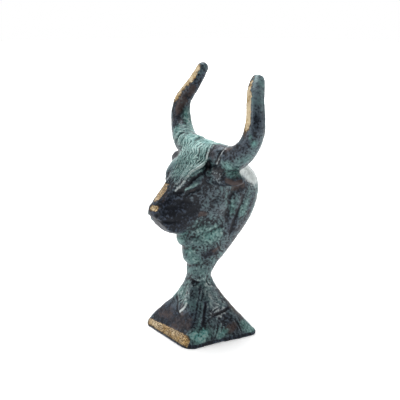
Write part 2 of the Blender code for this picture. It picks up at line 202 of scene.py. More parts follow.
carve(both_sides([
    # eye: socket, ball, lids and the corner of the eye
    (1.9, -0.22, [(8.6, -7.2, 61.8), (7.8, -10.2, 60.4)]),
    (0.85, 0.34, [(7.9, -9.6, 60.4)]),
    (0.34, 0.20, [(8.5, -6.8, 60.6), (8.5, -8.0, 61.8), (8.0, -9.6, 62.0), (7.6, -10.8, 61.2),
                  (7.2, -12.0, 60.0)]),
    (0.34, 0.12, [(8.3, -6.9, 59.8), (8.0, -8.4, 58.9), (7.5, -10.2, 58.9), (7.1, -11.6, 59.5)]),
    (0.42, -0.26, [(7.2, -12.0, 59.8), (6.6, -13.6, 58.6)]),
    # ridge over the eye, and the deep groove between it and the forelock
    (0.50, 0.24, [(10.4, -6.2, 67.0), (10.5, -8.4, 66.6), (10.1, -10.1, 65.9), (9.0, -11.6, 64.8),
                  (7.2, -12.3, 63.6)]),
    (0.75, -0.34, [(9.9, -4.4, 71.0), (10.2, -7.4, 69.9), (9.9, -9.6, 68.6), (9.2, -11.4, 66.8),
                   (7.4, -13.0, 64.6)]),
    # nostril, mouth and lips
    (0.55, -0.50, [(4.2, -22.4, 54.8), (3.6, -22.8, 54.0), (2.8, -23.2, 53.5)]),
    (0.40, -0.16, [(6.9, -15.4, 50.8), (6.5, -18.2, 51.3), (5.9, -20.8, 51.5), (4.0, -22.2, 51.2),
                   (0, -23.2, 50.8)]),
    (0.80, 0.12, [(6.5, -17.4, 50.2), (5.7, -20.4, 50.3), (3.4, -21.8, 50.0)]),
    # jaw, cheek and temple
    (0.70, -0.20, [(8.1, 9.4, 62.0), (8.2, 9.0, 59.6), (8.4, 8.2, 56.9), (8.4, 8.8, 53.9), (8.4, 7.6, 50.6)]),
    (0.90, -0.16, [(8.3, 6.4, 47.8), (7.5, 1.2, 45.4), (6.6, -4.0, 43.8)]),
    (1.30, 0.18, [(9.6, -1.0, 62.0), (9.2, -3.6, 57.0), (7.4, -8.0, 52.0)]),
    (1.00, -0.16, [(8.2, -6.0, 55.8), (7.0, -10.6, 53.6), (6.6, -14.0, 53.4)]),
    # folds of the neck
    (0.80, -0.20, [(7.6, 8.7, 39.8), (8.5, 9.9, 46.1), (8.5, 12.3, 51.2), (8.0, 15.6, 57.3)]),
    (1.00, -0.15, [(7.0, 2.6, 34.6), (7.6, 4.6, 40.2), (8.0, 6.0, 44.8)]),
    (1.10, 0.20, [(8.2, 11.4, 60.0), (8.2, 13.6, 53.6), (8.0, 12.6, 46.8)]),
    (0.45, -0.30, [(7.7, 2.6, 39.5), (7.1, 4.2, 36.4), (6.1, 6.6, 34.5)]),
    # rim of the swelling that a horn grows from
    (0.50, 0.30, HORN_RIM),
    (0.55, -0.26, [(13.4, 3.6, 81.0), (15.6, 0.0, 80.6), (15.4, -1.4, 79.0), (14.6, -2.0, 76.4),
                   (13.8, -2.6, 74.6)]),
    # hollow under the ear
    (1.20, -0.20, [(14.0, -2.6, 67.0), (18.6, -1.4, 67.2), (22.4, 0.2, 67.8)]),
]))


# Hair of the forelock. Wavy strands are combed from the poll down to the bridge of the nose, between an edge
# on the left side that stands proud and one on the right that lies closer. The waves lie side by side and
# drift.
LEFT_EDGE = [(6.5, 1.3, 80.9), (9.2, -2.0, 78.0), (9.2, -4.0, 74.4), (9.7, -7.0, 72.8), (8.9, -10.2, 71.2),
             (8.1, -12.0, 69.0), (6.9, -13.1, 66.2), (5.0, -14.9, 63.7)]
RIGHT_EDGE = [(-9.8, -0.6, 79.6), (-6.8, -4.9, 76.6), (-3.2, -7.8, 74.3), (-2.2, -9.8, 71.8),
              (-2.0, -11.8, 69.0), (-1.6, -13.6, 66.6), (-1.2, -15.4, 64.6), (-0.2, -16.9, 63.4)]
SECOND_LOCK = [(8.7, -5.8, 74.0), (8.6, -8.2, 72.9), (7.4, -10.6, 71.2), (6.6, -12.2, 69.0),
               (4.0, -15.0, 65.0)]
STRANDS = 12
STRAND_HEIGHT = 0.50
SWING = 0.42             # how far a strand waves, as a share of the gap between two
WAVES = 4.5
DRIFT_MM = 4.5           # from one drift of the strands to the next
KINK_MM = 1.9            # the same for their small kinks
KINK_SHARE = 0.45
SUNK = 0.4               # how much of a strand's height lies below the skin
THINNED = 0.6            # how much lower the strands are by the time they reach the nose
HAIR_REACH = 6 * MM


def ripple(point, size, seed=0.0):
    """Seamless noise from about -1 to 1 whose lumps are size millimetres apart."""
    return noise.noise(Vector(point) / (size * MM) + Vector((seed, seed, seed)))


def rise(values, low, high):
    """Goes smoothly from 0 to 1 while the values go from low to high."""
    part = np.clip((values - low) / (high - low), 0, 1)
    return part * part * (3 - 2 * part)


def comb(first, last):
    """Where each point of the skin lies between two lines, across and along from 0 to 1, and how far off."""
    first, last = smooth_line(first), smooth_line(last)
    both = np.vstack([first, last])
    near = np.flatnonzero(((skin > both.min(0) - HAIR_REACH) & (skin < both.max(0) + HAIR_REACH)).all(1))
    across, along, off = np.zeros(count), np.zeros(count), np.full(count, 1.0)
    for step, (left, right) in enumerate(zip(first, last)):
        side = right - left
        share = (skin[near] - left) @ side / (side @ side)
        gap = np.linalg.norm(skin[near] - left - np.clip(share, 0, 1)[:, None] * side, axis=1)
        chosen = near[gap < off[near]]
        across[chosen], along[chosen] = share[gap < off[near]], step / (len(first) - 1)
        off[chosen] = gap[gap < off[near]]
    return averaged(across, 2), averaged(along, 2), off


carve([
    (0.60, 0.60, LEFT_EDGE[1:]),
    (0.50, 0.40, SECOND_LOCK),
    (0.60, 0.15, RIGHT_EDGE),
])
across, along, off = comb(LEFT_EDGE, RIGHT_EDGE)
# the hair fades out at its two edges, at the poll and the nose, and where the skin leaves the lock
combed = rise(across, -0.07, 0.0) * rise(-across, -1.10, -0.98)
combed *= rise(along, 0.0, 0.06) * rise(-along, -1.0, -0.9)
combed *= rise(-off, -HAIR_REACH, -0.8 * HAIR_REACH)
turn = 2 * math.pi * WAVES * along
drift = np.zeros(count)
for index in np.flatnonzero(combed > 0):
    drift[index] = ripple(skin[index], DRIFT_MM, 1.7) + KINK_SHARE * ripple(skin[index], KINK_MM, 8.3)
strand = STRANDS * across + rise(across, 0, 0.12) * (
    SWING * (np.sin(turn + 3 * across) + 0.5 * np.sin(2.1 * turn - 9 * across)) + 1.0 * drift)
combed *= np.clip(0.75 + 0.6 * averaged(drift, 8), 0.25, 1)
ridge = 0.5 + 0.5 * np.cos(2 * math.pi * strand)
height = STRAND_HEIGHT * MM * combed * (ridge - SUNK) * (1 - THINNED * along)
skin = skin + normals * height[:, None]
normals = reshape_skin()


# Tool marks on the plinth. Below the chest a tongue of wax was pulled down over the front edge, and the left
# face keeps cracks and gouges, while the faces turned away are plainer.
TONGUE_LIP = [(1.9, -11.6, 10.8), (4.0, -11.4, 12.3), (4.9, -10.7, 13.8), (4.8, -10.2, 14.7)]

carve([
    # the tongue: its swell, the step at its lower end, its lip and the thin crack in it
    (1.60, 0.30, [(2.6, -6.9, 22.0), (3.2, -8.4, 18.0), (3.6, -9.9, 14.6), (3.2, -11.0, 12.2)]),
    (0.60, -0.35, [(-5.4, -8.6, 16.4), (-4.2, -9.6, 14.9), (-2.0, -10.4, 13.4), (-0.8, -11.4, 11.4),
                   (1.8, -12.2, 10.2)]),
    (0.70, 0.40, TONGUE_LIP),
    (0.32, -0.30, [(0.7, -7.6, 19.6), (0.4, -8.5, 17.3), (0.0, -9.5, 15.0), (-1.6, -10.2, 13.7)]),
    # groove along the near edge, and the ridge beside it
    (0.42, -0.20, [(5.4, -3.6, 21.4), (7.1, -5.6, 17.6), (8.6, -7.3, 14.5), (10.4, -9.3, 11.2),
                   (12.0, -11.3, 8.3)]),
    (0.60, 0.10, [(8.0, -4.6, 15.8), (8.8, -5.4, 14.2), (10.7, -7.4, 10.9), (12.8, -9.7, 7.8)]),
    # cracks
    (0.42, -0.60, [(8.7, -3.5, 14.8), (9.4, -4.3, 12.8), (10.2, -5.2, 11.3), (10.8, -6.0, 10.2)]),
    (0.30, -0.20, [(10.8, -6.0, 10.2), (11.8, -6.8, 9.0), (13.8, -8.5, 6.5)]),
    (0.50, -0.55, [(11.1, -0.6, 10.0), (11.0, 1.4, 10.3), (10.8, 4.2, 10.7), (10.4, 6.7, 11.4)]),
    (0.28, -0.30, [(11.6, -2.2, 10.2), (10.8, -0.4, 11.8), (10.4, 2.0, 12.4)]),
    (0.30, -0.35, [(13.8, 1.5, 6.3), (14.7, 0.8, 5.3), (15.7, -0.2, 3.8)]),
    (0.32, -0.36, [(13.4, -0.6, 6.6), (14.7, -1.3, 5.3), (15.1, -2.1, 4.3), (16.3, -3.8, 2.5)]),
    (0.34, -0.30, [(13.4, 7.8, 7.0), (14.8, 8.8, 4.6), (16.0, 9.0, 3.0)]),
    (0.38, -0.24, [(4.6, -0.4, 24.9), (5.0, -0.5, 22.9), (5.6, 0.1, 21.4), (5.1, 1.7, 21.2)]),
    (0.40, -0.25, [(0.9, -6.3, 24.6), (3.4, -5.8, 23.5), (4.8, -4.5, 23.1), (5.4, -2.5, 23.2)]),
    # the sides turned away
    (0.50, -0.40, [(-7.4, -3.0, 17.8), (-9.8, -4.2, 13.2), (-13.0, -6.4, 7.6)]),
    (0.45, -0.34, [(-9.0, 3.0, 14.4), (-12.6, 5.2, 8.6)]),
    (0.50, -0.40, [(2.0, 7.2, 17.6), (3.4, 10.6, 11.8), (4.0, 13.8, 6.6)]),
    (0.45, -0.34, [(-3.6, 9.0, 14.4), (-6.0, 12.8, 8.4)]),
    (0.45, -0.34, [(-5.2, -0.6, 24.0), (-4.6, 2.6, 23.4), (-1.4, 4.4, 23.6), (2.0, 4.2, 23.4)]),
])


# The sand-cast skin. The mould leaves the metal slightly uneven, grainy at about a millimetre, and pitted
# here and there. The front and near face of the plinth, the nape, the left horn and the far brow were rubbed
# smooth.
UNEVEN = (3.4, 0.11)     # millimetres across and millimetres deep
GRAINY = (1.7, 0.13)
PITTED = (1.9, 0.36)
PIT_SHARE = 0.36         # only noise above this is a pit
FINE_SHARE = 0.6         # how strong the finer half of the grain is
RUBBED_OFF = 0.8         # how much of the grain is gone where the metal was rubbed, or is hair
CREST_MM = 0.045         # a place that stands this far above those round it is a full crest
CREST_ROUNDS = 4
UNDERSIDE = 0.02 * MM    # the foot below this stays flat
RUBBED = [((-3.0, -13.5, 8.0), (11.0, 4.0, 7.5)), ((5.5, 18.5, 66.5), (5.0, 6.0, 4.0)),
          ((-8.5, -8.0, 70.5), (4.5, 4.5, 4.5)), ((26.5, 7.0, 96.0), (6.0, 6.5, 14.5)),
          ((8.0, -1.0, 17.0), (4.5, 5.0, 6.0))]

rubbed = np.max([np.exp(-(((skin / MM - middle) / reach) ** 2).sum(1)) for middle, reach in RUBBED], axis=0)
lift = np.empty(count)
for index, point in enumerate(skin):
    grain = GRAINY[1] * (ripple(point, GRAINY[0], 3.1) + FINE_SHARE * ripple(point, GRAINY[0] / 2, 5.7))
    pit = PITTED[1] * max(0.0, ripple(point, PITTED[0] / 2, 7.3) - PIT_SHARE)
    coarse = 1 - RUBBED_OFF * max(rubbed[index], combed[index])
    lift[index] = UNEVEN[1] * ripple(point, UNEVEN[0]) + (grain - pit) * coarse
lift[skin[:, 2] < UNDERSIDE] = 0
skin = skin + normals * (lift * MM)[:, None]
skin[:, 2] = np.maximum(skin[:, 2], 0)
normals = reshape_skin()
crest = np.clip(((skin - averaged(skin, CREST_ROUNDS)) * normals).sum(1) / (CREST_MM * MM), -1, 1)


# Filed faces. After the patina the caster drew a file along the fronts of the horns, the bridge and tip of
# the nose and the foot of the plinth. The file takes the high places off flat and leaves bare metal in them.
FILE_WANDER = 0.05       # millimetres that the file goes deeper or less deep
FILE_WAVE = 2.6          # millimetres from one such place to the next
FILE_EDGE = 0.44         # millimetres over which bare metal gives way to the patina
FILE_ROLL = 0.4          # millimetres that the flat falls away at its sides
TOPS_WITHIN = 4          # steps of the line whose high places count
TOPS_EVENED = 5          # steps to either side that their height is averaged over
WHOLLY_BARE = 0.9        # a place filed more than this is smoothed
filed = np.zeros(count)


def file_flat(points, reach, depth, facing, bright, fade):
    """Cuts a flat along a line, depth below the highest place beside it. facing is the way the flat looks.
    reach is how far it goes to either side, at the line's start and at its end."""
    global skin
    line = on_skin(smooth_line(points))
    facing = np.array(Vector(facing).normalized())
    low, high = line.min(0) - max(reach) * MM, line.max(0) + max(reach) * MM
    near = np.flatnonzero(((skin > low) & (skin < high)).all(1))
    gaps = np.linalg.norm(skin[near, None] - line[None], axis=2)
    step = gaps.argmin(1)
    aside = gaps.min(1) / (np.interp(step, (0, len(line) - 1), reach) * MM)
    ahead = np.gradient(line, axis=0)
    ahead /= np.linalg.norm(ahead, axis=1)[:, None]
    face = facing - ahead * (ahead @ facing)[:, None]
    face /= np.linalg.norm(face, axis=1)[:, None]
    stands = ((skin[near] - line[step]) * face[step]).sum(1)
    stands[aside > 1] = -MM
    tops = np.array([stands[np.abs(step - at) < TOPS_WITHIN].max() for at in range(len(line))])
    window = 2 * TOPS_EVENED + 1
    tops = np.convolve(np.pad(tops, TOPS_EVENED, "edge"), np.ones(window) / window, "valid")
    to_end = np.clip(np.minimum(step, len(line) - 1 - step) / (fade * len(line)), 0, 1)
    uneven = np.array([ripple(skin[index], FILE_WAVE, 11.0) for index in near]) * FILE_WANDER
    proud = stands - tops[step] + ((depth + uneven) * to_end - FILE_ROLL * rise(aside, 0.7, 1)) * MM
    above = proud > 0
    skin[near[above]] -= face[step[above]] * proud[above, None]
    bared = np.clip(0.5 + proud / (FILE_EDGE * MM), 0, 1) * np.sqrt(to_end)
    filed[near] = np.maximum(filed[near], bright * bared)


surface = BVHTree.FromPolygons(skin.tolist(), [face.vertices for face in cast_mesh.polygons])
FILED = [                # reach to either side, depth, the way it looks, how bright, how soon it ends, line
    ((3.4, 3.4), 0.38, (-0.20, -1, 0), 1.0, 0.12,
     [(-19.2, 11.8, 108.4), (-21.1, 10.4, 104.8), (-22.5, 9.5, 102.4), (-25.0, 7.1, 97.2),
      (-28.0, 4.9, 89.0)]),
    ((3.4, 3.4), 0.46, (0.03, -1, 0), 1.0, 0.12,
     [(18.0, 11.6, 108.6), (20.1, 8.9, 103.5), (22.2, 7.3, 100.9), (24.4, 5.4, 95.2), (26.2, 3.8, 86.6)]),
    ((3.0, 3.0), 0.46, (-0.10, -0.7, 0.7), 0.62, 0.08,
     [(-0.8, -15.0, 65.2), (-1.0, -17.6, 62.8), (-1.2, -19.4, 61.0), (-1.2, -22.6, 58.0)]),
    ((1.6, 1.6), 0.36, (0.0, -0.8, 0.6), 0.70, 0.12,
     [(-1.4, -23.2, 56.4), (1.0, -23.2, 56.5), (3.6, -22.2, 56.6)]),
    ((1.5, 2.9), 0.42, (0, -1, 0.55), 0.62, 0.01, [(-16.8, -17.0, 2.0), (0, -16.9, 2.9), (16.8, -16.2, 3.3)]),
]
for reach, depth, facing, bright, fade, points in FILED:
    file_flat(points, reach, depth, facing, bright, fade)
skin = np.where(filed[:, None] > WHOLLY_BARE, averaged(skin, 2), skin)
normals = reshape_skin()


# Patina, with painted light and shade in it. Dark brown-black bronze was fumed green in patches, worn pale on
# its crests and left dark in its hollows. Some dark strokes are painted shade and some pale ones are painted
# highlights and reflections, each named where it stands. Each patch is a soft stroke of colour: millimetres
# wide, how strong, and the line it follows. A weak stroke over a strong one takes it back.
GROUND_GREEN = 0.32
GROUND_SOOT = 0.12
FOOT_SHADE = (1.9, 0.5)  # millimetres up the foot where it turns dark, and over how many


def paint(strokes, ground=0.0):
    """Soft strokes of one colour, as a number from 0 to 1 for each point of the skin."""
    amount = np.full(count, ground)
    for width, strength, points in strokes:
        near, share = share_of(smooth_line(points), width * MM, 0)
        amount[near] += (strength - amount[near]) * share
    return amount


verdigris = paint([
    # poll, forelock and the roots of the horns
    (6.0, 0.90, [(-7.7, -0.6, 81.3), (3.7, 2.2, 80.7), (7.0, 2.5, 80.9)]),
    (5.0, 0.90, [(-6.6, -3.2, 77.7), (-0.9, -3.9, 78.9), (3.5, -2.9, 79.2), (7.6, -3.4, 77.6)]),
    (4.2, 0.80, [(-3.2, -7.5, 75.2), (4.1, -7.9, 74.7), (7.4, -6.2, 75.2)]),
    (3.0, 0.65, [(0.8, -11.5, 69.6), (3.3, -10.2, 70.8), (7.2, -10.4, 71.0)]),
    (2.6, 0.90, [(-23.0, 6.8, 87.0), (-21.4, 6.9, 84.7), (-18.9, 6.8, 82.6), (-15.6, 6.0, 81.2)]),
    (2.6, 0.80, [(-19.9, 1.1, 82.2), (-15.8, -1.4, 80.3), (-12.3, -1.7, 79.7)]),
    (1.9, 0.45, [(-18.2, 12.2, 107.3)]),
    (3.0, 0.36, [(23.0, 11.5, 107.6), (25.6, 9.2, 104.3), (28.0, 8.2, 100.9)]),
    (1.5, 1.00, [(30.1, 4.6, 84.7)]),
    (1.1, 0.80, [(29.1, 3.4, 87.4)]),
    (3.2, 0.06, [(11.5, -1.6, 79.0), (15.5, -0.6, 79.4), (18.5, 0.0, 80.0), (22.0, 1.0, 81.0)]),
    (2.0, 0.50, [(27.1, 3.1, 78.8), (22.4, 0.2, 75.9)]),
    (2.4, 0.88, [(19.6, -0.7, 74.6), (20.3, 0.7, 73.0), (21.9, 2.0, 72.3)]),
    (1.6, 0.80, [(19.9, -0.4, 71.4), (22.2, 0.4, 71.0)]),
    # lid, lower cheek and neck
    (0.5, 0.75, [(7.2, -12.3, 63.6), (9.0, -11.6, 64.8), (10.1, -10.1, 65.9), (10.4, -8.3, 66.6)]),
    (4.6, 0.70, [(7.6, 0.7, 44.4), (7.3, -1.5, 43.0), (6.3, -4.7, 47.5)]),
    (4.4, 0.20, [(10.0, -1.0, 65.0), (9.2, -2.0, 60.0), (8.8, 2.0, 55.0)]),
    (2.4, 0.88, [(7.9, 1.6, 43.6), (7.4, -1.5, 42.4)]),
    (2.4, 0.80, [(3.4, -7.1, 37.0), (2.4, -8.0, 36.0)]),
    (2.6, 0.65, [(0.9, -11.3, 42.1), (3.1, -10.7, 43.9)]),
    (2.2, 0.75, [(4.3, -5.8, 32.7), (5.6, -3.4, 31.0)]),
    (2.2, 0.78, [(8.6, 9.4, 51.7), (8.4, 9.6, 55.0)]),
    (2.4, 0.78, [(7.6, 16.9, 53.4), (7.9, 15.1, 50.7)]),
    (3.0, 0.50, [(8.1, 10.5, 61.8), (7.6, 14.0, 61.8)]),
    (4.0, 0.50, [(3.5, -4.8, 27.2), (5.2, -2.5, 28.1), (6.1, 0.3, 31.3)]),
    # plinth
    (2.4, 0.62, [(-5.0, -8.4, 17.4), (0.2, -8.6, 16.8), (3.6, -9.6, 15.0)]),
    (1.4, 0.75, [(0.5, -6.8, 21.8), (0.7, -7.6, 19.8)]),
    (3.2, 0.55, [(5.5, -1.2, 21.9), (6.7, -2.0, 18.9), (8.2, -1.0, 16.6)]),
    (2.0, 0.45, [(8.8, -5.4, 14.2), (10.7, -7.4, 10.9), (12.8, -9.7, 7.8)]),
    (2.8, 1.10, [(14.8, -12.4, 4.9), (15.8, -10.6, 3.7), (14.8, -7.6, 5.0)]),
    (3.2, 0.04, [(5.8, 4.6, 20.0), (8.4, 7.8, 14.5), (11.0, 10.4, 10.0), (12.6, 12.4, 7.4)]),
    (2.0, 0.80, [(14.6, 11.4, 4.8), (15.4, 11.9, 3.8), (16.7, 13.6, 2.2)]),
    (1.5, 0.90, [(16.0, -1.4, 3.0), (15.5, 1.6, 3.9)]),
    # sides turned away, in keeping
    (5.0, 0.70, [(-7.6, 0.7, 46.4), (-7.3, 4.5, 52.0)]),
    (3.0, 0.75, [(-8.4, 12.4, 60.0), (-7.6, 16.9, 55.4)]),
    (2.6, 0.75, [(-22.4, 0.2, 74.9), (-22.5, 2.5, 71.0)]),
    (4.0, 0.70, [(0, 26.0, 62.0), (0, 24.0, 50.0)]),
    (3.0, 0.85, [(-15.0, 12.0, 4.0), (-12.0, 14.6, 5.0)]),
    (2.4, 0.80, [(-15.6, -8.0, 4.0), (-14.0, -3.0, 6.0)]),
    (2.6, 0.80, [(3.0, 14.6, 5.0), (-2.0, 11.0, 11.0)]),
], GROUND_GREEN)
dark_patina_and_shade = paint([
    # muzzle and cheek: dark patina, made darker still as painted shade
    (5.0, 1.00, [(3.0, -19.2, 59.4), (5.4, -15.7, 56.5), (6.3, -14.0, 53.6)]),
    (3.8, 1.00, [(2.0, -23.4, 53.6), (4.0, -21.0, 51.8), (5.4, -18.0, 50.4), (6.0, -14.6, 49.0)]),
    (3.8, 0.90, [(6.7, -11.5, 57.4), (7.4, -9.0, 54.0)]),
    # painted shade in the groove between the brow ridge and the forelock, and under the brow
    (1.1, 0.35, [(10.2, -2.0, 72.2), (10.0, -4.4, 71.0), (10.3, -7.4, 69.4), (9.8, -9.8, 68.0),
                 (8.8, -12.2, 65.6)]),
    (3.6, 0.40, [(10.2, -3.0, 68.4), (10.0, -5.0, 64.6), (9.0, -7.4, 60.4)]),
    # the middles of the horns: dark patina, made darker as painted shade of their round form
    (2.8, 0.85, [(-18.6, 12.6, 103.8), (-21.0, 10.0, 98.6), (-22.6, 7.1, 93.8), (-23.8, 5.9, 90.3)]),
    (2.6, 0.75, [(-26.0, 4.8, 90.4), (-25.4, 3.6, 86.4), (-23.4, 2.0, 83.4)]),
    (3.2, 0.58, [(30.0, 6.2, 94.0), (29.6, 5.0, 89.0), (26.4, 2.4, 83.4), (21.5, -0.6, 79.6)]),
    (2.4, 0.60, [(11.4, 0.6, 80.6), (12.0, -2.2, 78.0), (11.6, -3.0, 75.4)]),
    (2.6, 0.55, [(17.2, 0.6, 80.8), (18.4, -0.6, 77.6)]),
    (2.8, 0.06, [(11.0, -3.6, 71.0), (13.5, -2.7, 71.4), (17.4, -1.8, 70.8), (14.1, -3.6, 69.0)]),
    (2.6, 0.50, [(-18.6, 12.6, 106.8), (-18.0, 13.0, 108.6)]),
    (3.0, 0.75, [(7.6, 9.0, 44.6), (7.4, 11.0, 49.0)]),
    (2.6, 0.80, [(0, -24.2, 53.0), (0, -22.6, 50.4), (0, -18.0, 48.6)]),
    # painted shadow of the near ear, under it
    (1.9, 0.90, [(19.6, -1.6, 69.0), (22.3, -0.6, 69.0), (24.3, 0.5, 68.3), (25.7, 1.8, 69.2)]),
    (2.4, 0.80, [(8.3, 9.3, 61.7), (7.9, 12.0, 61.0), (7.4, 15.6, 61.8)]),
    (3.2, 1.25, [(-21.2, 0.3, 71.4), (-19.4, -0.6, 71.4)]),
    # painted shade under the brow
    (1.5, 0.62, [(10.6, -6.4, 67.0), (10.4, -4.2, 67.8)]),
    (2.0, 0.85, [(5.2, 21.0, 56.0), (5.4, 17.5, 49.5), (4.8, 12.5, 42.5), (4.4, 8.5, 37.0)]),
    (1.3, 0.55, [(8.1, 9.6, 62.4), (8.2, 9.0, 59.6), (8.4, 8.2, 56.9), (8.4, 8.8, 53.9), (8.4, 7.6, 50.6)]),
    # painted shade in the hollow under the ear
    (1.6, 0.60, [(15.0, -1.6, 66.8), (20.0, -0.6, 67.0), (23.4, 1.2, 67.6)]),
    (1.5, 0.90, [(7.1, 1.6, 36.0), (6.4, -1.8, 34.3)]),
    (1.7, 0.60, [(0.4, -8.8, 38.0), (1.0, -8.2, 34.6)]),
    (1.0, 0.90, [(8.7, -3.5, 14.8), (10.2, -5.2, 11.3), (13.8, -8.5, 6.5)]),
    (1.0, 0.95, [(11.1, -0.6, 10.0), (11.0, 1.4, 10.3), (10.4, 6.7, 11.4)]),
    (0.9, 0.45, [(5.6, -3.7, 21.2), (8.6, -7.3, 14.5), (12.0, -11.3, 8.3), (15.0, -14.9, 4.0)]),
    (3.0, 0.60, [(12.6, 4.0, 8.6), (15.0, 6.0, 5.0), (14.6, 4.4, 5.4)]),
    # the front of the plinth: dark patina, made darker as painted shade
    (6.0, 0.90, [(-8.0, -13.6, 7.6), (0, -13.6, 7.6), (8.0, -12.6, 8.4)]),
    # the far side's muzzle and cheek, darkened the same way, partly as painted shade
    (4.8, 0.90, [(-3.0, -19.2, 59.4), (-5.4, -15.7, 56.5), (-6.3, -14.0, 53.6)]),
    # painted shade in the far side's groove between the brow ridge and the forelock
    (1.6, 1.00, [(-10.0, -4.4, 71.0), (-10.2, -7.4, 69.6), (-9.8, -10.0, 68.0), (-8.8, -12.2, 65.6)]),
], GROUND_SOOT)
# painted shade: the bottom edge of the foot, a bevel that lies in shadow, turns dark
dark_patina_and_shade = np.maximum(dark_patina_and_shade, np.clip((FOOT_SHADE[0] * MM - skin[:, 2]) / (FOOT_SHADE[1] * MM), 0, 1))
pale_wear_and_highlight = paint([
    # edge of the forelock and rims of the swelling at the horn's root: worn pale, and painted highlights
    (0.60, 0.62, [(9.7, -4.6, 73.6), (9.8, -7.5, 72.6), (8.8, -10.6, 71.0), (7.9, -12.3, 68.0),
                  (4.9, -15.1, 63.5)]),
    (0.50, 0.50, SECOND_LOCK[1:]),
    (0.50, 0.80, [(8.9, 0.0, 80.5), (9.6, -2.4, 78.4), (9.6, -3.2, 76.7), (8.9, -3.8, 75.2)]),
    (0.95, 0.55, HORN_RIM),
    # painted light, lifting the shade where the forelock, the horn's root and the cheek meet
    (1.6, 0.55, [(9.8, -3.2, 72.2), (9.9, -4.6, 71.2)]),
    (3.2, 0.31, [(11.0, -3.6, 71.4), (13.0, -3.2, 71.0), (16.0, -2.2, 70.4)]),
    (2.0, 0.35, [(-23.0, 6.8, 87.0), (-21.4, 6.9, 84.7), (-18.9, 6.8, 82.6)]),
    # the near face of the plinth, greyer
    (5.0, 0.60, [(6.6, -1.4, 19.6), (9.6, 1.0, 13.6), (11.2, 2.2, 11.2)]),
    # painted glint on the lip of the tongue
    (0.80, 1.20, TONGUE_LIP),
    # the plinth's front, rubbed grey and made paler as a painted sheen
    (3.0, 0.45, [(-4.0, -8.8, 17.0), (0.4, -8.6, 17.0), (2.6, -9.8, 14.6)]),
    # painted highlight on the smooth top of the nape
    (3.0, 1.05, [(6.3, 15.0, 68.0), (5.6, 17.4, 68.0), (4.8, 20.5, 66.5), (4.8, 22.4, 64.2)]),
    (3.0, 0.90, [(6.4, 18.4, 64.6), (5.3, 22.6, 62.6), (0, 25.0, 62.4)]),
    # painted reflection along the outer rim of the far horn
    (1.6, 0.55, [(-28.6, 5.4, 93), (-29.8, 4.9, 89.9), (-29.7, 4, 86.5), (-27.4, 2.6, 83.7)]),
])
russet_and_shade = paint([
    (1.5, 1.00, [(7.9, -5.2, 53.0), (8.4, -3.6, 52.7)]),
    (0.8, 0.90, [(8.4, -8.4, 63.7), (7.9, -9.8, 63.2)]),
    (2.2, 0.80, [(-21.6, 9.4, 98.6), (-25.0, 5.6, 91.4), (-24.8, 4.4, 87.0), (-25.2, 3.8, 84.4)]),
    (1.5, 0.80, [(25.4, 4.2, 90.4), (26.2, 3.2, 87.6)]),
    (1.4, 0.80, [(7.1, 1.6, 36.0), (7.4, 4.0, 37.0)]),
    (2.4, 0.70, [(14.8, 7.5, 5.1), (15.5, 3.1, 4.1)]),
    (2.4, 0.62, [(6.0, 4.8, 19.6), (8.4, 7.6, 14.5), (10.8, 10.2, 10.4), (12.6, 12.0, 7.6)]),
    (1.4, 0.50, [(2.2, -17.6, 61.6), (3.0, -20.0, 59.4)]),
    (5.0, 0.52, [(-11.0, -14.0, 7.6), (0, -14.0, 7.2), (10.0, -14.0, 7.6)]),
    (2.2, 0.45, [(12.0, -2.6, 78.4), (12.6, -3.0, 75.4)]),
    (2.2, 0.55, [(18.0, 0.6, 80.6), (21.0, 1.0, 82.6)]),
    (1.8, 0.55, [(5.4, 19.0, 52.5), (5.4, 16.5, 48.0), (4.8, 12.5, 42.5)]),
    # painted shade on the underside of the near ear, in russet
    (2.0, 0.80, [(20.6, -1.2, 68.8), (23.4, 0.2, 68.2), (25.4, 1.6, 68.8)]),
    (2.0, 0.70, [(8.2, 10.5, 61.8), (7.4, 15.2, 61.8)]),
])
marks = {
    "filed": filed, "crest": crest, "verdigris": verdigris, "dark_patina_and_shade": dark_patina_and_shade, "russet_and_shade": russet_and_shade, "pale_wear_and_highlight": pale_wear_and_highlight,
    "rubbed": rubbed, "combed": combed, "strand": strand,
}
for name, values in marks.items():
    cast_mesh.attributes.new(name, "FLOAT", "POINT").data.foreach_set("value", values.astype(np.float32))
cast_mesh.shade_smooth()


# Cast tin bronze with a fumed patina, waxed. The eye gets a dark speckled crust with a dull gleam, darker and
# bluer where shade is painted, mottled with chalky blue-green that has no gleam, pale where hands rub the
# crests and where highlights are painted, and warm bare metal where it was filed.
BLUE_BLACK = "#0c121b"
SLATE = "#5a6870"
DARK_AND_SHADE_BLUE = "#424c5c"
SEA_GREEN = "#58807c"
CHALK = "#a9bfba"
RUST_BROWN_AND_SHADE = "#483b38"
TURQUOISE = "#4f9c97"
WORN_AND_HIGHLIGHT_GREY = "#d5dcda"
FILED_BRASS = "#dccaa8"
WARM_BRASS = "#b3935f"
FILE_BROWN = "#5a4733"
MOTTLE_MM = 8.0          # clouds that the fuming leaves
FLECK_MM = 3.4           # flakes of the crust
SPECK_MM = 1.0           # specks in it
PORE_MM = 0.5            # grain of the mould's sand, drawn twice as coarse as it is so that it shows
RELIEF_MM = 0.16         # how far the specks and the grain stand up
BUMP_STRENGTH = 0.8
BARE_BAND = (0.15, 0.45)
BARE_ROUGHNESS = 0.40


def linear(colour):
    """An sRGB hex colour, turned to linear light."""
    parts = [int(colour[i:i + 2], 16) / 255 for i in (1, 3, 5)]
    return (*(p / 12.92 if p <= 0.04045 else ((p + 0.055) / 1.055) ** 2.4 for p in parts), 1.0)


